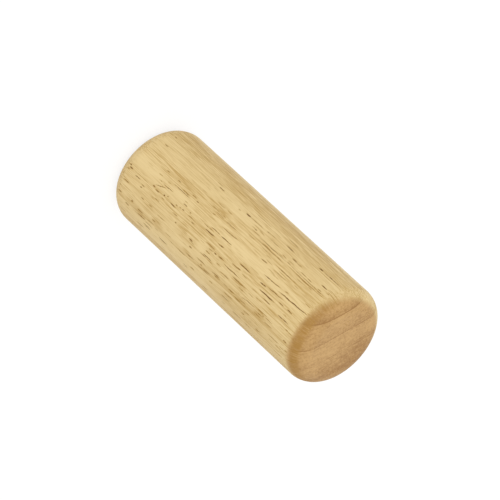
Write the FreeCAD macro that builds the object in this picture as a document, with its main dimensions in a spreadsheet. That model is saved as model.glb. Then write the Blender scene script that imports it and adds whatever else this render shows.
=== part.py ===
"""Wooden shaker: a turned hardwood cylinder, bored blind from its foot, plugged, with loose pellets inside.

Frame: millimetres, +Z up along the turning axis. The shaker stands on its plugged end, and the origin is the
centre of that flat end. The closed end is at the top.
"""

import FreeCAD
import Part
import Sketcher
import math
import os

FULL_TURN = 360.0
QUARTER_TURN = 90.0
GOLDEN_ANGLE = 137.5
PELLET_RINGS = 2
PELLETS_PER_RING = 6
UPRIGHT_EVERY = 4
VOLUME_SHARE = 1e-6

# Each driving size: its alias in the sheet, its value in millimetres, and what it measures.
SIZES = (
    ("body_diameter", 50.0, "outside of the straight barrel"),
    ("body_length", 141.5, "from flat end to flat end"),
    ("chamber_diameter", 30.0, "bore of the hollow, made by one flat-bottomed drill"),
    ("mouth_rim", 1.0, "flat ring of wood between the bore's mouth and the rounded shoulder"),
    ("end_wall", 11.5, "wood left at the closed end"),
    ("drill_point_diameter", 3.0, "mark that the drill's centre point leaves in the end wall"),
    ("drill_point_depth", 1.5, "depth of that mark"),
    ("plug_thickness", 12.0, "disc that closes the bore, flush with the foot"),
    ("plug_lead_in", 1.0, "chamfer on the edge of the plug that enters first"),
    ("glue_gap", 0.05, "film of glue between plug and bore, on the radius"),
    ("pellet_diameter", 3.0, "rod that the pellets are cut from"),
    ("pellet_length", 3.2, "length that they are cut to"),
    ("pellet_clearance", 0.3, "air round a pellet, to its seat and to the wall"),
    ("cut_overrun", 2.0, "how far a cut starts outside the wood"),
)

# Sizes that follow from the driving ones, as words for the sheet. The shoulders take up the wall of the body
# less a narrow flat rim, so the plug always lies within the flat end.
BODY_RADIUS = "Sizes.body_diameter / 2"
CHAMBER_RADIUS = "Sizes.chamber_diameter / 2"
SHOULDER_RADIUS = f"{BODY_RADIUS} - {CHAMBER_RADIUS} - Sizes.mouth_rim"
CHAMBER_END = "Sizes.body_length - Sizes.end_wall"
PLUG_RADIUS = f"{CHAMBER_RADIUS} - Sizes.glue_gap"
PELLET_REACH = "sqrt(pow(Sizes.pellet_diameter; 2) + pow(Sizes.pellet_length; 2)) / 2"
OUTER_RING_RADIUS = f"{CHAMBER_RADIUS} - Sizes.pellet_clearance - {PELLET_REACH}"


def make_sheet(document):
    """Writes the driving sizes to a spreadsheet, one row each."""
    sheet = document.addObject("Spreadsheet::Sheet", "Sizes")
    for row, (alias, value, meaning) in enumerate(SIZES, start=1):
        sheet.set(f"A{row}", meaning)
        sheet.set(f"B{row}", str(value))
        sheet.setAlias(f"B{row}", alias)
    document.recompute()


def add_sketch(body, name):
    """Puts an empty sketch on the body's own XZ plane, so that its upright axis is the turning axis."""
    sketch = body.newObject("Sketcher::SketchObject", name)
    plane = next(item for item in body.Origin.OriginFeatures if item.Role == "XZ_Plane")
    sketch.AttachmentSupport = (plane, [""])
    sketch.MapMode = "FlatFace"
    return sketch


def now(sketch, expression):
    """The present value of an expression, for drawing geometry near where its constraints will hold it."""
    return float(sketch.evalExpression(expression))


def name_size(sketch, name, expression, kind, *elements):
    """Adds a dimension to a sketch, names it and binds it to the sheet."""
    index = sketch.addConstraint(Sketcher.Constraint(kind, *elements, now(sketch, expression)))
    sketch.renameConstraint(index, name)
    sketch.setExpression(f"Constraints.{name}", expression)


def draw_outline(sketch):
    """Draws half of the body's outline: two flat ends, two tangent shoulders and the straight barrel."""
    radius = now(sketch, BODY_RADIUS)
    length = now(sketch, "Sizes.body_length")
    shoulder = now(sketch, SHOULDER_RADIUS)
    flat = radius - shoulder

    def line(*ends):
        start, end = (FreeCAD.Vector(across, up, 0) for across, up in ends)
        return sketch.addGeometry(Part.LineSegment(start, end))

    def rounding(height, start, end):
        circle = Part.Circle(FreeCAD.Vector(flat, height, 0), FreeCAD.Vector(0, 0, 1), shoulder)
        return sketch.addGeometry(Part.ArcOfCircle(circle, start, end))

    foot = line((0, 0), (flat, 0))
    low_shoulder = rounding(shoulder, -math.pi / 2, 0)
    barrel = line((radius, shoulder), (radius, length - shoulder))
    high_shoulder = rounding(length - shoulder, 0, math.pi / 2)
    crown = line((flat, length), (0, length))
    axis = line((0, length), (0, 0))

    for constraint in (
        ("Coincident", foot, 1, -1, 1),
        ("Tangent", foot, 2, low_shoulder, 1),
        ("Tangent", low_shoulder, 2, barrel, 1),
        ("Tangent", barrel, 2, high_shoulder, 1),
        ("Tangent", high_shoulder, 2, crown, 1),
        ("Coincident", crown, 2, axis, 1),
        ("Coincident", axis, 2, foot, 1),
        ("Horizontal", foot),
        ("Vertical", barrel),
        ("Horizontal", crown),
        ("Vertical", axis),
        ("Equal", low_shoulder, high_shoulder),
    ):
        sketch.addConstraint(Sketcher.Constraint(*constraint))
    name_size(sketch, "shoulder_radius", SHOULDER_RADIUS, "Radius", low_shoulder)
    name_size(sketch, "barrel_radius", BODY_RADIUS, "DistanceX", -1, 1, barrel, 1)
    name_size(sketch, "overall_length", "Sizes.body_length", "DistanceY", -1, 1, crown, 2)


def draw_polygon(sketch, corners):
    """Draws a closed half section with straight sides.

    Each corner is a name, its distance from the axis and its height, both as words for the sheet. A distance or
    height of 0 puts the corner on the axis or at the foot.
    """
    points = [
        FreeCAD.Vector(now(sketch, across) if across else 0, now(sketch, up) if up else 0, 0)
        for _, across, up in corners
    ]
    following_points = points[1:] + points[:1]
    sides = [sketch.addGeometry(Part.LineSegment(*ends)) for ends in zip(points, following_points)]
    for side, following in zip(sides, sides[1:] + sides[:1]):
        sketch.addConstraint(Sketcher.Constraint("Coincident", side, 2, following, 1))
    for side, (name, across, up) in zip(sides, corners):
        if across:
            name_size(sketch, f"{name}_across", across, "DistanceX", -1, 1, side, 1)
        else:
            sketch.addConstraint(Sketcher.Constraint("PointOnObject", side, 1, -2))
        if up:
            name_size(sketch, f"{name}_up", up, "DistanceY", -1, 1, side, 1)
        else:
            sketch.addConstraint(Sketcher.Constraint("PointOnObject", side, 1, -1))


def turn(body, kind, name, sketch):
    """Turns a half section once round the sketch's upright axis, as wood added or as wood removed."""
    feature = body.newObject(kind, name)
    feature.Profile = sketch
    feature.ReferenceAxis = (sketch, ["V_Axis"])
    feature.Angle = FULL_TURN
    return feature


def make_shaker_body(document):
    """The turned body: one piece of wood with a blind bore that is open at the foot."""
    body = document.addObject("PartDesign::Body", "ShakerBody")
    body.Label = "shaker_body"
    outline = add_sketch(body, "Outline")
    draw_outline(outline)
    blank = turn(body, "PartDesign::Revolution", "TurnedBlank", outline)
    document.recompute()

    bore = add_sketch(body, "BoreSection")
    draw_polygon(
        bore,
        (
            ("mouth_middle", 0, "-Sizes.cut_overrun"),
            ("mouth_edge", CHAMBER_RADIUS, "-Sizes.cut_overrun"),
            ("end_edge", CHAMBER_RADIUS, CHAMBER_END),
            ("point_edge", "Sizes.drill_point_diameter / 2", CHAMBER_END),
            ("point_tip", 0, f"{CHAMBER_END} + Sizes.drill_point_depth"),
        ),
    )
    chamber = turn(body, "PartDesign::Groove", "Chamber", bore)
    document.recompute()

    half_section = Part.Face(Part.Wire(bore.Shape.Edges))
    drilled = half_section.revolve(FreeCAD.Vector(), FreeCAD.Vector(0, 0, 1), FULL_TURN)
    wanted = blank.Shape.common(drilled).Volume
    removed = blank.Shape.Volume - chamber.Shape.Volume
    if wanted <= 0 or abs(removed - wanted) > wanted * VOLUME_SHARE:
        raise RuntimeError(f"the bore removed {removed:.3f} mm3 and should remove {wanted:.3f} mm3")
    return body


def make_end_plug(document):
    """The end plug: a disc glued into the mouth of the bore, flush with the foot, with a lead-in chamfer."""
    body = document.addObject("PartDesign::Body", "EndPlug")
    body.Label = "end_plug"
    section = add_sketch(body, "PlugSection")
    draw_polygon(
        section,
        (
            ("outer_middle", 0, 0),
            ("outer_edge", PLUG_RADIUS, 0),
            ("chamfer_start", PLUG_RADIUS, "Sizes.plug_thickness - Sizes.plug_lead_in"),
            ("chamfer_end", f"{PLUG_RADIUS} - Sizes.plug_lead_in", "Sizes.plug_thickness"),
            ("inner_middle", 0, "Sizes.plug_thickness"),
        ),
    )
    turn(body, "PartDesign::Revolution", "TurnedPlug", section)
    return body


def pellet_places():
    """Lists the pellets' places on the plug, the middle one first.

    A place is a share of the outer ring's radius, and an angle. The rings are evenly spaced out to the wall,
    and each one has so many pellets that they are about as far apart as the rings are.
    """
    places = [(0.0, 0.0)]
    for ring in range(1, PELLET_RINGS + 1):
        count = PELLETS_PER_RING * ring
        ring_share = ring / PELLET_RINGS
        places += [(ring_share, FULL_TURN * index / count) for index in range(count)]
    return places


def make_pellet(document, number, ring_share, angle):
    """One loose pellet, cut square from a rod. Most lie on their side, and some stand on a cut end."""
    pellet = document.addObject("Part::Cylinder", f"Pellet{number:02d}")
    pellet.Label = f"pellet_{number:02d}"
    pellet.setExpression("Radius", "Sizes.pellet_diameter / 2")
    pellet.setExpression("Height", "Sizes.pellet_length")

    east = f"{ring_share} * ({OUTER_RING_RADIUS}) * cos({angle})"
    north = f"{ring_share} * ({OUTER_RING_RADIUS}) * sin({angle})"
    seat = "Sizes.plug_thickness + Sizes.pellet_clearance"
    heading = (GOLDEN_ANGLE * number) % FULL_TURN
    lean = 0.0
    if number % UPRIGHT_EVERY:
        lean = QUARTER_TURN
        east += f" - Sizes.pellet_length / 2 * cos({heading})"
        north += f" - Sizes.pellet_length / 2 * sin({heading})"
        seat += " + Sizes.pellet_diameter / 2"
    pellet.Placement.Rotation = FreeCAD.Rotation(heading, lean, 0)
    pellet.setExpression("Placement.Base.x", east)
    pellet.setExpression("Placement.Base.y", north)
    pellet.setExpression("Placement.Base.z", seat)
    return pellet


def check(document, parts):
    """Stops if an object failed to build, or if a sub-part isn't one valid solid."""
    for item in document.Objects:
        faults = [state for state in item.State if state in ("Invalid", "Error")]
        if faults:
            raise RuntimeError(f"{item.Name} is {', '.join(faults)}")
    for item in parts:
        if item.Shape.isNull() or not item.Shape.isValid() or len(item.Shape.Solids) != 1:
            raise RuntimeError(f"{item.Label} isn't one valid solid")


def main():
    document = FreeCAD.newDocument("WoodenShaker")
    make_sheet(document)
    parts = [make_shaker_body(document), make_end_plug(document)]
    for number, (ring_share, angle) in enumerate(pellet_places(), start=1):
        parts.append(make_pellet(document, number, ring_share, angle))
    document.recompute()
    check(document, parts)

    os.makedirs("parts", exist_ok=True)
    for item in parts:
        item.Shape.exportStep(f"parts/{item.Label}.step")
        box = item.Shape.BoundBox
        print(f"{item.Label}: {item.Shape.Volume:.1f} mm3, z {box.ZMin:.2f} to {box.ZMax:.2f}")


main()
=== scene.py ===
"""The looks of a turned wooden shaker: its wood, its lacquer, its loose fill, the light and the camera.

The shapes are the CAD nodes' own. This script gives each of them a finish that is worked out
from the place in the wood, so grain runs through the piece and comes out right on every face.
On the photographed side it adds marks and tones that were placed after the photograph.
"""

import math

import bpy
from mathutils import Matrix, Vector

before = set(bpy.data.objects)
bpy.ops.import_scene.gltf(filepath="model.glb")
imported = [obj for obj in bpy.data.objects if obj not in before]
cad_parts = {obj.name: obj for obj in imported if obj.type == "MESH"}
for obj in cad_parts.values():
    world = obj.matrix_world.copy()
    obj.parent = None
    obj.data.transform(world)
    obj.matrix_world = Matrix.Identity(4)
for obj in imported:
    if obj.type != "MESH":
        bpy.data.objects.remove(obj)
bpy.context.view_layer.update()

MM_PER_M = 1000.0
BARREL_RADIUS = 25.0  # mm

# The camera: a long lens, seen in the frame where the shaker stands on its end
LENS = 324.0  # mm
SENSOR = 36.0  # mm
CAMERA_ELEVATION = 34.6  # degrees
CAMERA_ROLL = 132.76  # degrees; the photographed shaker lies down
CAMERA_DISTANCE = 2.0325  # m
CAMERA_AIM = Vector((-0.00302, 0.00013, 0.07094))  # m

# The light
AMBIENT = 0.88
WHITE = (1.0, 1.0, 1.0, 1.0)
LAMP_AIM = Vector((0.0, 0.0, 0.07))  # m
LAMP_DISTANCE = 1.6  # m
LAMP_SIZE = 1.2  # m
LAMPS = (  # name, azimuth and elevation in degrees, watts
    ("key_lamp", -8.0, 38.0, 5.5),
    ("back_lamp", 165.0, 30.0, 2.5),
)
FLOOR_HALF_SIDE = 12.0  # m
FLOOR_HEIGHT = -0.0001  # m
FLOOR_COLOUR = (0.8, 0.8, 0.8, 1.0)
SEEN_FLOOR_COLOUR = (0.22, 0.22, 0.22, 1.0)
SEEN_FLOOR_GLOW = 0.82

# Wood colours, as linear light
SIDE_PALE = (0.820, 0.630, 0.315, 1.0)
SIDE_DEEP = (0.520, 0.330, 0.100, 1.0)
END_PALE = (0.590, 0.365, 0.145, 1.0)
END_DEEP = (0.340, 0.175, 0.055, 1.0)
SLANT_COLOUR = (0.400, 0.215, 0.050, 1.0)
PORE_HALO = (0.400, 0.210, 0.020, 1.0)
PORE_COLOUR = (0.120, 0.040, 0.001, 1.0)

# Where the body and the plug lie in the tree
BODY_SHIFT = (0.0, 0.0, 0.0)  # mm
PLUG_SHIFT = (61.0, 23.0, 140.0)  # mm
RINGS_SHIFTED = 0.5  # mm outwards for each mm of that shift along x

# Noises in the wood: features for each mm across the grain and along it, detail, roughness
WANDER = (0.03, 0.022, 2.0, 0.5)
HAIR = (2.6, 0.09, 2.0, 0.7)
FINE = (1.3, 0.05, 3.0, 0.6)
BROAD = (0.28, 0.016, 2.0, 0.5)
CLOUD = (0.10, 0.03, 2.0, 0.5)
STRAND = (1.0, 0.02, 0.0, 0.5)
MOTTLE = (0.9, 0.9, 4.0, 0.7)
SHAKE = (0.6, 0.25, 2.0, 0.5)
RAGGED = (2.5, 0.7, 1.0, 0.5)
MEAN = 0.5  # of each noise
WANDER_REACH = 1.6  # mm, by which the grain wanders along the piece
SHAKE_REACH = 0.7  # mm, by which the marks are shaken sideways

# Each ramp below is a low and a high value, and then what becomes of them: 0 and 1 where that is left out

# Growth rings. Each has its place in mm from the axis, at the lower and at the upper end,
# in the direction in which they follow each other, and its strength in end grain and in side grain
RING_AZIMUTH = 239.0  # degrees, in the frame
RINGS = (
    (17.9, 17.9, 1.0, 0.3),
    (9.7, 9.7, 0.15, 0.0),
    (4.6, 6.5, 0.6, 1.0),
    (-5.5, -4.5, 0.3, 0.6),
    (-16.5, -15.5, 0.5, 0.8),
)
RING_BENDS = (60.0, 88.0)  # mm up the piece, between which a ring goes from its lower place to its upper one
RING_EDGE = (-0.15, 0.15)  # ramps of the brown zone and of the line, over mm outwards
RING_FADE = (0.0, 4.0, 1.0, 0.0)
RING_LINE = (0.02, 0.30, 1.0, 0.0)

# The fibres lean off the axis, so end grain begins lower on one side of a shoulder
FIBRE_AZIMUTH = 315.0  # degrees, in the frame
FIBRE_LEAN = 0.47  # how far they go sideways for each step up
END_GRAIN_BEGINS = (0.44, 0.81)  # ramp over how squarely the surface cuts the fibres
LOWER_END_LATER = (10.0, 20.0, 0.2, 0.0)  # ramp over mm up the piece: what the lower end takes off that
SLANT_BEGINS = (0.05, 0.50)  # ramps of the brown band, where the cut slants, over how far it faces up
SLANT_ENDS = (0.62, 0.82, 1.0, 0.0)
SLANT_SIDE = (-0.3, 0.95)  # ramp over how far it faces the side to which the fibres lean

# Vessels. Each kind has the width and length of its cells in mm, its largest size in cell widths
# and a shift in mm
FEW_VESSELS = (1.5, 30.0, 0.22, (3.0, 2.1, 3.9))
MANY_VESSELS = (1.0, 9.0, 0.24, (17.0, 11.9, 22.1))
VESSEL_EDGE = (-0.06, 0.03, 1.0, 0.0)
VESSEL_CROWDS = (0.45, 0.65, 0.25, 0.9)  # ramp over the broad noise
VESSEL_DARKNESS = 0.55
OPEN_GRAIN_BEGINS = (6.5, 8.5)  # ramps over the rings' mm, where the wood is rich in vessels
OPEN_GRAIN_ENDS = (21.0, 23.0, 1.0, 0.0)

# How much each part darkens the wood
STREAKS = {"hair": 1.6, "fine": 0.55, "fine_in_open_grain": 0.6, "thread": 0.25}
SIDE_TONE = {"broad": 0.2, "cloud": 0.4, "brown": 0.35, "line": 0.25, "plain": 0.22}
END_TONE = {
    "band": 0.9,
    "mottle": 1.9,
    "cloud": 0.8,
    "brown": 0.40,
    "line": 1.20,
    "pinhole": 0.45,
    "plain": 0.25,
}
TONE_RANGE = (-0.2, 1.2)  # from the pale colour to the deep one
THREAD_WIDTH = (0.03, 0.11, 1.0, 0.0)  # ramp over the strand noise, off its mean
THREAD_BREAKS = (0.42, 0.62, 0.1, 1.0)  # ramp over the fine noise

# Figures that only the end grain shows
BAND_SCALE = (0.22, 1.5, 0.3)  # features for each mm along the rings, outwards and up
BAND_NOISE = (2.0, 0.6)  # detail, roughness
PINHOLE_SCALE = (0.9, 0.9, 0.5)  # cells for each mm
PINHOLE_EDGE = (0.08, 0.22, 1.0, 0.0)
BACK_SLANT = 0.3  # the end grain gets deeper towards the back, on a slanting line
BACK_DEEPER = (0.0, 12.0, 0.0, 0.40)  # ramp over mm from that line

# The photographed side: its ramps over other fields, and the share of each mark that fades at its edge
SHADE_EDGE = 0.7
SHADE_STREAKS = (0.30, 0.70, 0.1, 1.8)  # over the hair noise
PALE_CALMS = (0.0, 0.35, 1.0, 0.4)  # over the strength of a pale patch
LINED_EDGE = 0.6
LINED_STREAKS = (0.30, 0.45, 0.55, 0.0)  # over the hair noise
DASH_SCALE = (1.3, 0.085)  # cells for each mm round the barrel and along it
DASH_SIZE = 0.30  # of a cell
DASH_EDGE = (-0.06, 0.05, 0.55, 0.0)
VESSELS_FEWER = (-12.0, 0.0, 0.35, 1.0)  # over mm towards the back
PORE_EDGE = 0.4
PORE_BREAKS = (0.25, 0.60, 0.45, 1.15)  # over the ragged noise
SCRAPE_SCALE = (2.2, 0.2)  # features for each mm round the barrel and along it
SCRAPE_DETAIL = 1.0
SCRAPE_STRENGTH = (0.32, 0.62, 0.40, 1.12)  # over their own noise

# How dark marks show: a ramp over their darkness and how much each layer covers
HALO_RANGE = (0.0, 0.4)
HALO_COVERS = 0.65
PORE_RANGE = (0.15, 1.0)
PORE_COVERS = 0.95

# Surfaces
ROUGHNESS = {"plain": 0.48, "fine": 0.10, "end": 0.05, "marks": 0.2}
RELIEF = {"fine": 0.15, "vessels": 0.55}
BUMP_HEIGHT = 0.0001  # m
WOOD_BUMP = 0.35
LACQUER = {"IOR": 1.5, "Specular IOR Level": 0.25}

# Pellets
PELLET_DULL = (0.62, 0.60, 0.55, 1.0)
PELLET_BRIGHT = (0.74, 0.72, 0.67, 1.0)
PELLET_CLOUD = (0.8, 0.8, 3.0, 0.5)
PELLET_CUT = (0.5, 0.9)  # ramp over how far the surface faces up or down
PELLET_ROUGHNESS = {"plain": 0.35, "cloud": 0.15, "cut": 0.2}
PELLET_BUMP = 0.3
PELLET_BODY = {"Subsurface Weight": 0.2, "Subsurface Scale": 0.001}

# The marks on the photographed side: angle round the barrel in degrees, from the -X side through the
# -Y side, middle height in mm, length in mm, width in mm, and how dark from 0 to 1. Their places were
# read from enlarged, unrolled views of the photograph, and how dark they are was set partly after
# comparing measured brightness in the photograph and in the render
PORE_MARKS = (
    (42.5, 98.0, 8.0, 0.45, 0.45),
    (43.4, 125.0, 2.4, 0.60, 1.00),
    (43.7, 126.3, 13.4, 0.40, 0.60),
    (43.8, 118.3, 2.8, 0.60, 0.95),
    (44.6, 10.7, 1.6, 0.60, 0.50),
    (47.0, 78.0, 12.0, 0.40, 0.40),
    (49.6, 82.0, 8.0, 0.40, 0.30),
    (50.7, 48.0, 4.0, 0.40, 0.55),
    (51.5, 100.3, 5.5, 0.55, 0.85),
    (54.2, 51.0, 4.0, 0.50, 0.65),
    (54.4, 88.8, 6.0, 0.40, 0.40),
    (54.8, 86.0, 1.4, 0.50, 0.60),
    (55.8, 72.0, 3.0, 0.80, 1.00),
    (55.8, 78.3, 10.0, 0.35, 0.45),
    (57.3, 90.8, 2.4, 0.40, 0.35),
    (58.3, 66.7, 1.6, 0.45, 0.35),
    (58.5, 107.3, 3.2, 0.55, 0.90),
    (58.5, 128.5, 4.0, 0.55, 0.90),
    (58.6, 110.8, 4.0, 0.35, 0.45),
    (59.4, 93.6, 7.5, 0.35, 0.45),
    (60.8, 13.0, 3.0, 0.45, 0.50),
    (61.0, 84.8, 4.0, 0.40, 0.30),
    (61.4, 132.6, 2.0, 0.40, 0.45),
    (62.7, 79.6, 3.0, 0.40, 0.35),
    (63.0, 81.3, 1.3, 0.50, 0.60),
    (63.4, 102.5, 3.0, 0.45, 0.50),
    (63.4, 116.5, 4.0, 0.45, 0.50),
    (63.8, 121.0, 3.0, 0.40, 0.50),
    (64.4, 128.5, 2.6, 0.40, 0.50),
    (65.5, 107.0, 2.6, 0.40, 0.50),
    (66.1, 96.0, 22.0, 0.28, 0.60),
    (66.2, 95.5, 6.0, 0.35, 0.70),
    (66.2, 120.0, 26.0, 0.28, 0.55),
    (66.5, 129.5, 2.6, 0.40, 0.50),
    (68.2, 65.2, 4.0, 0.50, 0.35),
    (68.4, 120.0, 22.0, 0.28, 0.55),
    (69.3, 101.0, 7.0, 0.35, 0.50),
    (69.4, 95.0, 20.0, 0.28, 0.50),
    (70.0, 125.0, 3.0, 0.40, 0.40),
    (72.2, 94.0, 8.0, 0.35, 0.40),
    (75.5, 64.5, 4.0, 0.50, 0.30),
    (76.3, 111.0, 15.0, 0.40, 0.50),
    (77.8, 71.5, 8.0, 0.40, 0.50),
    (80.3, 34.0, 2.2, 0.45, 0.50),
    (80.5, 26.0, 2.2, 0.45, 0.50),
    (80.8, 60.5, 2.0, 0.50, 0.40),
    (81.2, 46.0, 3.0, 0.45, 0.50),
    (81.4, 97.7, 4.0, 0.50, 0.60),
    (81.4, 109.0, 8.0, 0.35, 0.60),
    (83.3, 49.4, 1.5, 0.50, 0.60),
    (84.3, 41.5, 5.0, 0.45, 0.55),
    (84.8, 131.0, 4.0, 0.40, 0.35),
    (85.6, 107.5, 6.0, 0.35, 0.30),
    (86.0, 39.5, 12.0, 0.40, 0.60),
    (88.3, 24.3, 2.6, 0.45, 0.30),
    (88.5, 30.7, 2.4, 0.45, 0.25),
    (89.4, 118.5, 2.6, 0.45, 0.45),
    (91.4, 45.0, 2.4, 0.45, 0.30),
    (93.0, 26.4, 2.4, 0.45, 0.30),
    (94.3, 45.7, 2.6, 0.45, 0.60),
    (94.8, 63.5, 7.0, 0.40, 0.50),
    (96.5, 50.5, 1.0, 0.55, 0.50),
    (99.8, 44.3, 1.6, 0.50, 0.35),
    (99.8, 46.4, 1.6, 0.50, 0.60),
    (99.8, 52.8, 6.0, 0.40, 0.40),
    (100.1, 35.0, 1.0, 0.60, 0.45),
    (100.3, 92.7, 7.4, 0.50, 0.85),
    (100.5, 41.9, 1.5, 0.50, 0.45),
    (101.7, 125.8, 3.4, 0.50, 0.75),
    (101.9, 7.3, 1.4, 0.55, 0.80),
    (101.9, 25.4, 2.0, 0.60, 0.55),
    (101.9, 33.0, 1.0, 0.70, 0.90),
    (102.0, 119.8, 3.4, 0.40, 0.65),
    (103.1, 55.0, 2.4, 0.50, 0.50),
    (103.3, 28.3, 2.8, 0.50, 0.60),
    (103.5, 40.0, 4.6, 0.50, 0.65),
    (103.8, 17.5, 14.0, 0.35, 0.25),
    (104.2, 8.7, 2.6, 0.60, 0.65),
    (105.0, 90.2, 2.4, 0.45, 0.60),
    (105.4, 33.4, 2.0, 0.50, 0.35),
    (105.7, 111.0, 9.6, 0.50, 1.00),
    (106.8, 7.4, 2.0, 0.50, 0.40),
    (106.8, 95.0, 4.0, 0.50, 0.35),
    (107.0, 15.0, 4.0, 0.50, 0.65),
    (108.0, 124.6, 3.0, 0.45, 0.30),
    (108.9, 43.8, 3.6, 0.50, 0.45),
    (109.8, 19.8, 2.6, 0.50, 0.45),
    (109.8, 78.8, 4.0, 0.55, 0.60),
    (110.3, 112.3, 5.0, 0.50, 0.80),
    (110.4, 74.8, 1.6, 0.50, 0.75),
    (110.7, 31.0, 3.0, 0.45, 0.55),
    (110.9, 71.5, 3.0, 0.50, 0.35),
    (112.2, 87.4, 11.4, 0.45, 0.65),
    (112.7, 19.4, 1.4, 0.50, 0.65),
    (112.7, 28.2, 3.0, 0.50, 0.25),
    (112.7, 125.2, 7.2, 0.50, 0.75),
    (114.7, 108.5, 4.5, 0.50, 0.45),
    (115.1, 46.6, 1.0, 0.70, 0.65),
    (115.1, 70.7, 2.8, 0.50, 0.60),
    (116.1, 94.6, 8.4, 0.60, 0.45),
    (116.8, 79.3, 3.5, 0.50, 0.35),
    (118.1, 58.8, 2.6, 0.60, 0.65),
    (118.5, 10.0, 3.8, 0.50, 0.50),
    (118.6, 129.7, 2.0, 0.50, 0.45),
    (119.0, 132.3, 2.5, 0.50, 0.40),
    (119.9, 97.0, 4.0, 0.60, 0.35),
    (121.2, 22.9, 2.6, 0.55, 0.40),
    (121.2, 29.2, 3.0, 0.55, 0.30),
    (121.2, 74.0, 5.0, 0.55, 0.30),
    (121.4, 85.0, 6.6, 0.50, 0.50),
    (123.1, 37.5, 6.0, 0.50, 0.35),
    (123.7, 112.0, 3.8, 0.60, 0.50),
    (124.7, 60.3, 2.0, 0.70, 0.50),
    (125.8, 114.4, 1.0, 0.60, 0.35),
    (127.0, 111.8, 2.4, 0.60, 0.40),
    (129.7, 111.0, 5.0, 0.60, 0.35),
    (130.1, 81.3, 4.0, 0.80, 0.40),
    (130.4, 92.0, 4.5, 0.80, 0.45),
    (130.6, 131.0, 2.4, 0.70, 0.65),
    (132.0, 69.8, 1.6, 0.60, 0.40),
    (132.4, 33.8, 2.6, 0.80, 0.40),
    (132.8, 17.5, 1.4, 0.90, 0.55),
    (132.8, 96.7, 5.0, 0.70, 0.40),
    (134.2, 8.2, 2.8, 0.70, 0.45),
    (134.2, 61.0, 2.2, 0.80, 0.50),
    (135.2, 71.5, 7.0, 0.60, 0.45),
    (135.8, 24.0, 4.0, 0.70, 0.50),
    (138.0, 90.6, 7.0, 0.60, 0.40),
    (138.2, 104.0, 5.0, 0.70, 0.35),
    (138.4, 55.0, 7.0, 0.70, 0.35),
    (139.8, 133.0, 2.0, 0.80, 0.40),
    (140.4, 25.3, 5.8, 0.80, 0.55),
    (141.4, 14.5, 3.0, 0.80, 0.50),
    (141.5, 78.0, 2.5, 0.90, 0.35),
    (143.0, 101.8, 2.5, 0.90, 0.35),
    (144.0, 127.5, 4.0, 0.90, 0.30),
    (146.0, 64.3, 3.0, 0.90, 0.35),
    (147.2, 112.5, 2.5, 0.80, 0.35),
)
LEANING_MARKS = (
    (84.6, 74.5, 12.0, 0.40, 0.55),
    (91.0, 108.5, 10.5, 0.40, 0.80),
    (92.4, 67.5, 7.0, 0.40, 0.50),
    (92.4, 75.4, 7.0, 0.50, 0.95),
    (93.2, 124.8, 17.6, 0.45, 1.00),
    (93.4, 32.4, 6.0, 0.40, 0.70),
    (98.1, 65.8, 6.6, 0.50, 0.85),
    (98.1, 113.5, 11.0, 0.40, 0.55),
    (99.9, 105.8, 3.8, 0.55, 0.95),
    (100.0, 74.8, 3.8, 0.50, 0.75),
)
LEAN = 0.035  # mm sideways for each mm along the grain
STEEP_MARKS = (
    (97.3, 28.6, 6.0, 0.40, 0.60),
)
STEEP_LEAN = 0.34

# Broad, soft shades and paler patches, in the same terms. They were set one by one, more than half of them
# from measured differences in brightness between the photograph and the render
SHADES = (
    (32.0, 60.0, 190.0, 13.0, 0.42),
    (37.0, 108.0, 26.0, 6.0, 0.20),
    (72.0, 100.0, 80.0, 6.0, 0.20),
    (73.5, 60.0, 15.0, 5.0, 0.45),
    (79.5, 25.0, 60.0, 6.0, 0.33),
    (79.5, 84.0, 100.0, 5.5, 0.32),
    (86.0, 101.0, 22.0, 5.0, 0.18),
    (101.0, 90.0, 46.0, 5.0, 0.36),
    (104.0, 60.0, 150.0, 7.0, 0.12),
    (111.0, 116.0, 16.0, 5.0, 0.20),
    (112.0, 52.0, 6.0, 7.0, 0.30),
    (118.0, 95.0, 9.0, 3.5, 0.30),
    (127.0, 112.0, 8.0, 4.5, 0.40),
    (131.0, 95.0, 14.0, 4.0, 0.25),
    (132.0, 36.5, 8.0, 3.0, 0.50),
    (132.0, 58.5, 5.0, 3.0, 0.30),
    (133.0, 16.0, 6.0, 3.0, 0.35),
    (138.0, 100.0, 30.0, 8.0, 0.15),
    (138.5, 25.0, 14.0, 4.0, 0.35),
    (149.0, 100.0, 70.0, 6.0, 0.16),
    # Painted shade: this last row darkens a full-height band near the +X edge of the barrel, standing in for
    # light that falls off towards that edge, drawn as wood tone
    (168.0, 70.0, 190.0, 6.0, 0.40),
)
PALE_PATCHES = (
    (46.0, 42.0, 24.0, 6.0, 0.18),
    (48.5, 84.0, 18.0, 6.0, 0.18),
    (60.0, 68.0, 16.0, 6.0, 0.20),
    (91.0, 16.0, 26.0, 12.0, 0.35),
    (91.0, 92.0, 44.0, 14.0, 0.28),
    (91.0, 124.0, 16.0, 6.0, 0.20),
    (96.0, 40.0, 24.0, 7.0, 0.28),
    (113.0, 66.0, 6.0, 8.0, 0.25),
    (138.0, 42.0, 80.0, 8.0, 0.24),
    (157.0, 70.0, 150.0, 5.0, 0.14),
)

# Zones where fine dark lines run close together, and how strong they are there
LINED_ZONES = (
    (60.0, 45.0, 50.0, 12.0, 0.4),
    (66.0, 108.0, 80.0, 18.0, 0.8),
    (76.0, 58.0, 40.0, 12.0, 0.7),
    (105.0, 95.0, 70.0, 12.0, 0.5),
    (110.0, 30.0, 50.0, 18.0, 0.4),
    (119.0, 85.0, 56.0, 14.0, 1.3),
    (129.0, 105.0, 80.0, 8.0, 0.9),
    (147.0, 70.0, 130.0, 14.0, 1.4),
)


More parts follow.
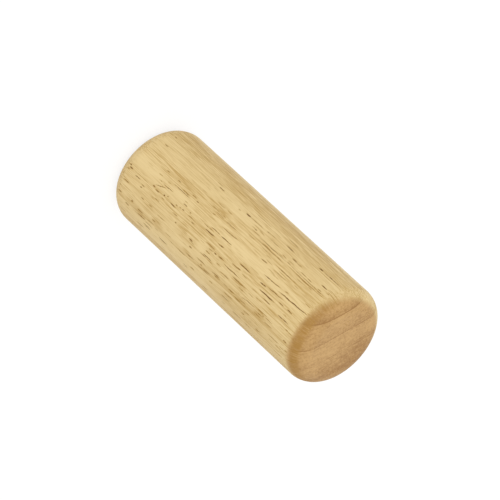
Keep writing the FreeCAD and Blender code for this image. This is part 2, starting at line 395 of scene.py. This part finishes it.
class Field:
    """A number that varies over a surface: an output of the material's node tree. It adds, subtracts and
    multiplies as a plain number does, and each such step is one Math node."""

    def __init__(self, graph, socket):
        self.graph = graph
        self.socket = socket

    def __add__(self, other):
        return self.graph.maths("ADD", self, other)

    def __sub__(self, other):
        return self.graph.maths("SUBTRACT", self, other)

    def __mul__(self, other):
        return self.graph.maths("MULTIPLY", self, other)


class Graph:
    """A material's node tree, with a short call for each kind of node that the finishes use."""

    def __init__(self, name):
        self.material = bpy.data.materials.new(name)
        self.material.use_nodes = True
        self.tree = self.material.node_tree
        self.tree.nodes.clear()
        self.output = self.tree.nodes.new("ShaderNodeOutputMaterial")

    def feed(self, socket, value):
        """Links a field to the socket, or sets the socket to a plain value."""
        if isinstance(value, Field):
            self.tree.links.new(value.socket, socket)
        else:
            socket.default_value = value

    def node(self, kind, settings=None, inputs=None):
        made = self.tree.nodes.new(kind)
        for name, value in (settings or {}).items():
            setattr(made, name, value)
        for key, value in (inputs or {}).items():
            self.feed(made.inputs[key], value)
        return made

    def field(self, node, output=0):
        return Field(self, node.outputs[output])

    def maths(self, operation, *values):
        made = self.node("ShaderNodeMath", {"operation": operation}, dict(enumerate(values)))
        return self.field(made)

    def vector_maths(self, operation, *values):
        made = self.node("ShaderNodeVectorMath", {"operation": operation}, dict(enumerate(values)))
        return self.field(made, 1 if operation in ("LENGTH", "DOT_PRODUCT") else 0)

    def scaled(self, vector, x, y, z):
        return self.vector_maths("MULTIPLY", vector, (x, y, z))

    def combined(self, x, y, z):
        return self.field(self.node("ShaderNodeCombineXYZ", None, {0: x, 1: y, 2: z}))

    def separated(self, vector):
        made = self.node("ShaderNodeSeparateXYZ", None, {0: vector})
        return [self.field(made, n) for n in range(3)]

    def smooth(self, value, low, high, start=0.0, end=1.0):
        """Goes smoothly from start to end as the value goes from low to high."""
        inputs = {"Value": value, "From Min": low, "From Max": high, "To Min": start, "To Max": end}
        return self.field(self.node("ShaderNodeMapRange", {"interpolation_type": "SMOOTHSTEP"}, inputs))

    def noise(self, vector, detail=2.0, roughness=0.5):
        """Soft noise around 0.5 with features about one unit of the vector across."""
        inputs = {"Vector": vector, "Scale": 1.0, "Detail": detail, "Roughness": roughness}
        return self.field(self.node("ShaderNodeTexNoise", None, inputs))

    def cells(self, vector):
        """Distance to the nearest of scattered points, one for each unit cell, and that point's own lot
        between 0 and 1."""
        made = self.node("ShaderNodeTexVoronoi", None, {"Vector": vector, "Scale": 1.0})
        return self.field(made, "Distance"), self.separated(self.field(made, "Color"))[0]

    def mixed(self, factor, first, second):
        made = self.node("ShaderNodeMix", {"data_type": "RGBA"}, {0: factor, 6: first, 7: second})
        return self.field(made, 2)

    def place_in_mm(self):
        """The place in the piece, in mm of the frame."""
        made = self.node("ShaderNodeTexCoord")
        return self.scaled(self.field(made, "Object"), MM_PER_M, MM_PER_M, MM_PER_M)

    def facing(self):
        """The surface's own direction, in the frame."""
        return self.field(self.node("ShaderNodeTexCoord"), "Normal")

    def bump(self, height, distance, strength):
        inputs = {"Height": height, "Distance": distance, "Strength": strength}
        return self.field(self.node("ShaderNodeBump", None, inputs))

    def finish(self, inputs):
        """Ends the tree in one Principled shader with these inputs."""
        shader = self.node("ShaderNodeBsdfPrincipled", None, inputs)
        self.tree.links.new(shader.outputs[0], self.output.inputs["Surface"])
        return self.material


def marks(graph, arc, height, listed, edge, lean=0.0):
    """The darkest of the listed marks at each place of the barrel: arc is how far round it, in mm.
    Edge is the share of a mark that fades, inwards and outwards."""
    unrolled = graph.combined(arc + height * lean, height, 0.0)
    total = 0.0
    for angle, middle, length, width, darkness in listed:
        across = math.radians(angle) * BARREL_RADIUS + middle * lean
        scale = (2 / width, 2 / length, 0.0)
        offset = (-across * 2 / width, -middle * 2 / length, 0.0)
        reach = graph.vector_maths("LENGTH", graph.vector_maths("MULTIPLY_ADD", unrolled, scale, offset))
        mark = graph.smooth(reach, 1.0 - edge, 1.0 + edge, darkness, 0.0)
        total = graph.maths("MAXIMUM", total, mark)
    return total


class Wood:
    """The wood of one piece, as fields over its surface: pale straight-grained hardwood under satin lacquer.
    Shift moves the piece to another place in the tree, in mm."""

    def __init__(self, name, shift):
        self.graph = Graph(name)
        place = self.graph.place_in_mm()
        self.x, self.y, self.z = self.graph.separated(place)
        self.away = self.graph.vector_maths("ADD", place, shift)
        wander = self.noise(WANDER) - MEAN
        turn = math.radians(RING_AZIMUTH)
        cosine, sine = math.cos(turn), math.sin(turn)
        self.ring = self.x * cosine + self.y * sine + wander * WANDER_REACH + shift[0] * RINGS_SHIFTED
        self.across = self.x * -sine + self.y * cosine
        self.draw_rings()
        self.find_end_grain()
        self.hair = self.noise(HAIR)
        self.fine = self.noise(FINE)
        self.broad = self.noise(BROAD)
        self.cloud = self.noise(CLOUD)
        self.draw_vessels()
        self.streaks = self.streaks_along()
        self.side_tone = self.tone_of_side()
        self.end_tone = self.tone_of_end()

    def noise(self, kind):
        """Noise of that kind, drawn out along the grain."""
        across, along, detail, roughness = kind
        return self.graph.noise(self.graph.scaled(self.away, across, across, along), detail, roughness)

    def darker_of(self, first, second):
        return self.graph.maths("MAXIMUM", first, second)

    def draw_rings(self):
        """Makes each ring a thin line with a brown zone on its outer side."""
        graph = self.graph
        self.end_brown, self.side_brown, self.end_line, self.side_line = 0.0, 0.0, 0.0, 0.0
        for lower, upper, end_strength, side_strength in RINGS:
            outward = self.ring - graph.smooth(self.z, *RING_BENDS, lower, upper)
            brown = graph.smooth(outward, *RING_EDGE) * graph.smooth(outward, *RING_FADE)
            line = graph.smooth(graph.maths("ABSOLUTE", outward), *RING_LINE)
            self.end_brown = self.darker_of(self.end_brown, brown * end_strength)
            self.side_brown = self.darker_of(self.side_brown, brown * side_strength)
            self.end_line = self.darker_of(self.end_line, line * end_strength)
            self.side_line = self.darker_of(self.side_line, line * side_strength)

    def find_end_grain(self):
        """Finds where the surface turns to face along the fibres, and where it is cut at a slant to them."""
        graph = self.graph
        facing = graph.facing()
        upward = graph.separated(facing)[2]
        turn = math.radians(FIBRE_AZIMUTH)
        lean = graph.vector_maths("DOT_PRODUCT", facing, (math.cos(turn), math.sin(turn), 0.0))
        cut = graph.maths("ABSOLUTE", upward + lean * FIBRE_LEAN)
        self.endness = graph.smooth(cut - graph.smooth(self.z, *LOWER_END_LATER), *END_GRAIN_BEGINS)
        slanted = graph.smooth(upward, *SLANT_BEGINS) * graph.smooth(upward, *SLANT_ENDS)
        self.slanted = slanted * graph.smooth(lean, *SLANT_SIDE)

    def scattered(self, across, along, size, shift):
        """Thin spindles along the grain, one in each cell of that width and length, of that size at most."""
        graph = self.graph
        moved = graph.vector_maths("ADD", self.away, shift)
        distance, lot = graph.cells(graph.scaled(moved, 1 / across, 1 / across, 1 / along))
        return graph.smooth(distance - lot * size, *VESSEL_EDGE)

    def draw_vessels(self):
        """Crowds the vessels where the grain is open."""
        graph = self.graph
        few = self.scattered(*FEW_VESSELS)
        many = self.scattered(*MANY_VESSELS)
        opens = graph.smooth(self.ring, *OPEN_GRAIN_BEGINS)
        self.open_grain = opens * graph.smooth(self.ring, *OPEN_GRAIN_ENDS)
        crowd = self.darker_of(self.open_grain, graph.smooth(self.broad, *VESSEL_CROWDS))
        self.vessels = self.darker_of(few, many) * crowd
        self.dark_marks = self.vessels * VESSEL_DARKNESS

    def streaks_along(self):
        """Fine streaks, and long thin lines that are broken here and there."""
        graph = self.graph
        strand = self.noise(STRAND) - MEAN
        thread = graph.smooth(graph.maths("ABSOLUTE", strand), *THREAD_WIDTH)
        thread = thread * graph.smooth(self.fine, *THREAD_BREAKS)
        fine_share = self.open_grain * STREAKS["fine_in_open_grain"] + STREAKS["fine"]
        streaks = (self.hair - MEAN) * STREAKS["hair"] + (self.fine - MEAN) * fine_share
        return streaks + thread * STREAKS["thread"]

    def tone_of_side(self):
        tone = (self.broad - MEAN) * SIDE_TONE["broad"] + (self.cloud - MEAN) * SIDE_TONE["cloud"]
        tone = tone + self.side_brown * SIDE_TONE["brown"] + self.side_line * SIDE_TONE["line"]
        return tone + SIDE_TONE["plain"]

    def tone_of_end(self):
        """Fine growth bands, mottling and pinholes, which only the end grain shows."""
        graph = self.graph
        across, outward, along = BAND_SCALE
        places = graph.combined(self.across * across, self.ring * outward, self.z * along)
        band = graph.noise(places, *BAND_NOISE)
        mottle = self.noise(MOTTLE)
        distance, _ = graph.cells(graph.scaled(self.away, *PINHOLE_SCALE))
        pinhole = graph.smooth(distance, *PINHOLE_EDGE)
        tone = (band - MEAN) * END_TONE["band"] + (mottle - MEAN) * END_TONE["mottle"]
        tone = tone + (self.cloud - MEAN) * END_TONE["cloud"] + END_TONE["plain"]
        tone = tone + self.end_brown * END_TONE["brown"] + self.end_line * END_TONE["line"]
        tone = tone + pinhole * END_TONE["pinhole"]
        return tone + graph.smooth(self.y + self.x * BACK_SLANT, *BACK_DEEPER)

    def draw_photographed_side(self):
        """Adds the marks and tones that were placed after the photograph."""
        shake = self.noise(SHAKE) - MEAN
        angle = self.graph.maths("ARCTAN2", self.y * -1.0, self.x * -1.0)
        arc = angle * BARREL_RADIUS + shake * SHAKE_REACH
        self.draw_shades(arc)
        self.draw_lines(arc)
        self.draw_pores(arc)
        self.draw_scrapes(arc)

    def draw_shades(self, arc):
        """Adds soft shades, which darken some streaks more than others, and calm pale patches."""
        graph = self.graph
        pale = marks(graph, arc, self.z, PALE_PATCHES, SHADE_EDGE)
        shade = marks(graph, arc, self.z, SHADES, SHADE_EDGE) * graph.smooth(self.hair, *SHADE_STREAKS)
        self.side_tone = self.side_tone + shade - pale
        self.streaks = self.streaks * graph.smooth(pale, *PALE_CALMS)

    def draw_lines(self, arc):
        """Adds the zones with close, short lines. The scattered vessels are fewer on this side."""
        graph = self.graph
        round_it, along = DASH_SCALE
        distance, lot = graph.cells(graph.combined(arc * round_it, self.z * along, 0.0))
        dashes = graph.smooth(distance - lot * DASH_SIZE, *DASH_EDGE)
        self.dark_marks = self.dark_marks * graph.smooth(self.y, *VESSELS_FEWER)
        zones = marks(graph, arc, self.z, LINED_ZONES, LINED_EDGE)
        self.dark_marks = self.darker_of(self.dark_marks, dashes * zones)
        self.streaks = self.streaks + graph.smooth(self.hair, *LINED_STREAKS) * zones

    def draw_pores(self, arc):
        """Adds the single pores, a little ragged."""
        graph = self.graph
        drawn = 0.0
        for listed, lean in ((PORE_MARKS, 0.0), (LEANING_MARKS, LEAN), (STEEP_MARKS, STEEP_LEAN)):
            drawn = self.darker_of(drawn, marks(graph, arc, self.z, listed, PORE_EDGE, lean))
        drawn = drawn * graph.smooth(self.noise(RAGGED), *PORE_BREAKS)
        self.dark_marks = self.darker_of(self.dark_marks, graph.maths("MINIMUM", drawn, 1.0))

    def draw_scrapes(self, arc):
        """Breaks up the slanting cut on the shoulder into fine lines that run up it."""
        graph = self.graph
        round_it, along = SCRAPE_SCALE
        scrape = graph.noise(graph.combined(arc * round_it, self.z * along, 0.0), SCRAPE_DETAIL)
        self.slanted = self.slanted * graph.smooth(scrape, *SCRAPE_STRENGTH)

    def colour(self):
        graph = self.graph
        side = graph.mixed(graph.smooth(self.side_tone + self.streaks, *TONE_RANGE), SIDE_PALE, SIDE_DEEP)
        end = graph.mixed(graph.smooth(self.end_tone, *TONE_RANGE), END_PALE, END_DEEP)
        colour = graph.mixed(self.endness, side, end)
        colour = graph.mixed(self.slanted, colour, SLANT_COLOUR)
        colour = graph.mixed(graph.smooth(self.dark_marks, *HALO_RANGE) * HALO_COVERS, colour, PORE_HALO)
        return graph.mixed(graph.smooth(self.dark_marks, *PORE_RANGE) * PORE_COVERS, colour, PORE_COLOUR)

    def finish(self):
        """Makes the material."""
        roughness = self.fine * ROUGHNESS["fine"] + self.endness * ROUGHNESS["end"]
        roughness = roughness + self.dark_marks * ROUGHNESS["marks"] + ROUGHNESS["plain"]
        relief = self.fine * RELIEF["fine"] - self.vessels * RELIEF["vessels"]
        return self.graph.finish({
            "Base Color": self.colour(),
            "Roughness": roughness,
            "Normal": self.graph.bump(relief, BUMP_HEIGHT, WOOD_BUMP),
            **LACQUER,
        })


def body_wood():
    wood = Wood("turned_wood", BODY_SHIFT)
    wood.draw_photographed_side()
    return wood.finish()


def plug_wood():
    return Wood("plug_wood", PLUG_SHIFT).finish()


def pellet_plastic():
    """Cut plastic granulate: off-white, a little cloudy, matt on the cut ends."""
    graph = Graph("pellet_plastic")
    across, along, detail, roughness = PELLET_CLOUD
    cloud = graph.noise(graph.scaled(graph.place_in_mm(), across, across, along), detail, roughness)
    upward = graph.separated(graph.facing())[2]
    cut = graph.smooth(graph.maths("ABSOLUTE", upward), *PELLET_CUT)
    roughness = cloud * PELLET_ROUGHNESS["cloud"] + cut * PELLET_ROUGHNESS["cut"] + PELLET_ROUGHNESS["plain"]
    return graph.finish({
        "Base Color": graph.mixed(cloud, PELLET_DULL, PELLET_BRIGHT),
        "Roughness": roughness,
        "Normal": graph.bump(cloud, BUMP_HEIGHT, PELLET_BUMP),
        **PELLET_BODY,
    })


def dress_nodes():
    """Gives each CAD node its finish."""
    finishes = {"shaker_body": body_wood(), "end_plug": plug_wood()}
    plastic = pellet_plastic()
    for name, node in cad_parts.items():
        for slot in node.material_slots:
            slot.material = finishes.get(name, plastic)


def link(thing):
    bpy.context.scene.collection.objects.link(thing)
    return thing


def direction(azimuth, elevation):
    """The direction towards a camera or lamp. Azimuth 0 is in front, on the -Y side, and 90 is at +X."""
    azimuth, elevation = math.radians(azimuth), math.radians(elevation)
    level = math.cos(elevation)
    return Vector((math.sin(azimuth) * level, -math.cos(azimuth) * level, math.sin(elevation)))


def aimed(aim, back, distance, roll=0.0):
    """The placing of a camera or lamp at that distance from its aim, looking at it."""
    turn = (-back).to_track_quat("-Z", "Y").to_matrix().to_4x4()
    return Matrix.Translation(aim + back * distance) @ turn @ Matrix.Rotation(math.radians(roll), 4, "Z")


def make_camera():
    data = bpy.data.cameras.new("camera")
    data.lens = LENS
    data.sensor_width = SENSOR
    camera = link(bpy.data.objects.new("camera", data))
    camera.matrix_world = aimed(CAMERA_AIM, direction(0.0, CAMERA_ELEVATION), CAMERA_DISTANCE, CAMERA_ROLL)
    bpy.context.scene.camera = camera


def make_lamps():
    for name, azimuth, elevation, watts in LAMPS:
        data = bpy.data.lights.new(name, "AREA")
        data.shape = "DISK"
        data.size = LAMP_SIZE
        data.energy = watts
        lamp = link(bpy.data.objects.new(name, data))
        lamp.matrix_world = aimed(LAMP_AIM, direction(azimuth, elevation), LAMP_DISTANCE)


def seen_directly(tree):
    """1 for what the camera, a gloss or clear plastic shows, and 0 for light that falls on the object."""
    path = tree.nodes.new("ShaderNodeLightPath")
    total = path.outputs["Is Camera Ray"]
    for kind in ("Is Glossy Ray", "Is Transmission Ray"):
        larger = tree.nodes.new("ShaderNodeMath")
        larger.operation = "MAXIMUM"
        tree.links.new(total, larger.inputs[0])
        tree.links.new(path.outputs[kind], larger.inputs[1])
        total = larger.outputs[0]
    return total


def make_world():
    world = bpy.data.worlds.new("white_tent")
    bpy.context.scene.world = world
    world.use_nodes = True
    tree = world.node_tree
    tree.nodes.clear()
    output = tree.nodes.new("ShaderNodeOutputWorld")
    mix = tree.nodes.new("ShaderNodeMixShader")
    tree.links.new(seen_directly(tree), mix.inputs[0])
    for socket, strength in ((1, AMBIENT), (2, 1.0)):
        light = tree.nodes.new("ShaderNodeBackground")
        light.inputs["Color"].default_value = WHITE
        light.inputs["Strength"].default_value = strength
        tree.links.new(light.outputs[0], mix.inputs[socket])
    tree.links.new(mix.outputs[0], output.inputs["Surface"])


def floor_material():
    """Pale for the light that it throws back, and white with soft shadows for the camera."""
    material = bpy.data.materials.new("floor_white")
    material.use_nodes = True
    tree = material.node_tree
    tree.nodes.clear()
    output = tree.nodes.new("ShaderNodeOutputMaterial")
    plain = tree.nodes.new("ShaderNodeBsdfDiffuse")
    plain.inputs["Color"].default_value = FLOOR_COLOUR
    seen = tree.nodes.new("ShaderNodeBsdfDiffuse")
    seen.inputs["Color"].default_value = SEEN_FLOOR_COLOUR
    glow = tree.nodes.new("ShaderNodeEmission")
    glow.inputs["Color"].default_value = WHITE
    glow.inputs["Strength"].default_value = SEEN_FLOOR_GLOW
    both = tree.nodes.new("ShaderNodeAddShader")
    tree.links.new(seen.outputs[0], both.inputs[0])
    tree.links.new(glow.outputs[0], both.inputs[1])
    mix = tree.nodes.new("ShaderNodeMixShader")
    tree.links.new(seen_directly(tree), mix.inputs[0])
    tree.links.new(plain.outputs[0], mix.inputs[1])
    tree.links.new(both.outputs[0], mix.inputs[2])
    tree.links.new(mix.outputs[0], output.inputs["Surface"])
    return material


def make_floor():
    half = FLOOR_HALF_SIDE
    corners = [(-half, -half), (half, -half), (half, half), (-half, half)]
    mesh = bpy.data.meshes.new("floor")
    mesh.from_pydata([(x, y, FLOOR_HEIGHT) for x, y in corners], [], [(0, 1, 2, 3)])
    mesh.materials.append(floor_material())
    link(bpy.data.objects.new("floor", mesh))


make_camera()
make_world()
make_lamps()
make_floor()
dress_nodes()
bpy.context.scene.view_settings.view_transform = "Standard"
